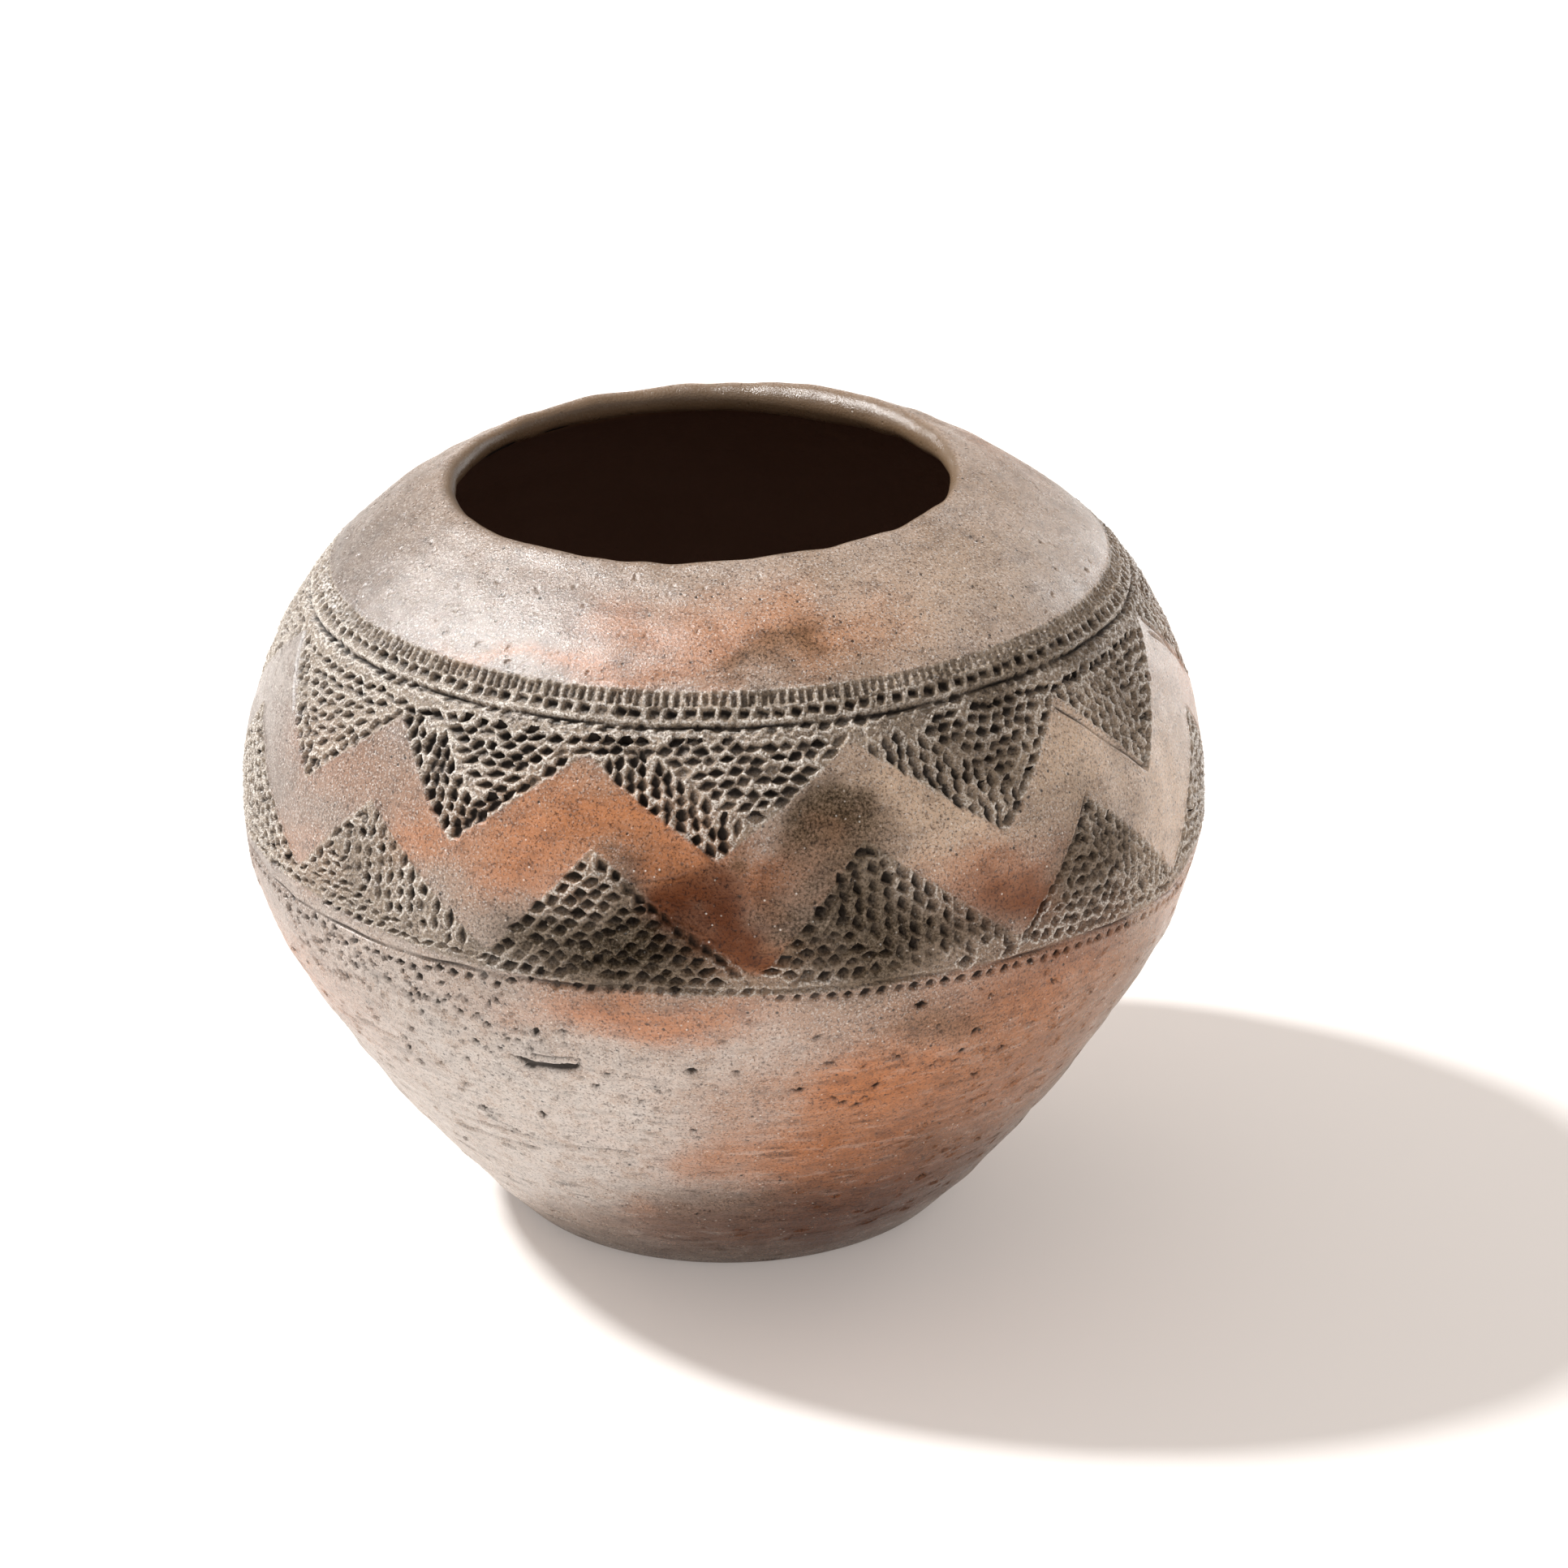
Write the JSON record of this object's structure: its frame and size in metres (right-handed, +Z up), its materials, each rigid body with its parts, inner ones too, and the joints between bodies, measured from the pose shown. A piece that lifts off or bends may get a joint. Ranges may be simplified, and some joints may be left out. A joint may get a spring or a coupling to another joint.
{
  "type": "ukhamba beer pot",
  "caption": "Round hand-coiled clay beer pot with a flat foot, a wide belly, an open mouth with a rounded lip, and rows of stamped triangles between incised lines.",
  "frame": {"origin": "middle of the flat underside, on the ground", "axes": "+Z up along the pot's axis towards the mouth; -Y towards the pictured front"},
  "size_m": [0.3, 0.3, 0.237],
  "materials": {
    "clay_dark": "burnished, smoke-darkened",
    "clay_brown": "burnished",
    "clay_red": "burnished",
    "clay_tan": "burnished"
  },
  "bodies": {
    "root": {"base_disc": "clay_dark", "foot_coil": "clay_dark", "lower_coil_1": "clay_brown", "lower_coil_2": "clay_brown", "lower_coil_3": "clay_brown", "lower_coil_4": "clay_brown", "lower_coil_5": "clay_brown", "belly_coil_1": "clay_red", "belly_coil_2": "clay_red", "belly_coil_3": "clay_red", "belly_coil_4": "clay_red", "shoulder_coil_1": "clay_tan", "shoulder_coil_2": "clay_tan", "shoulder_coil_3": "clay_tan", "rim_coil": "clay_tan"}
  },
  "joints": []
}
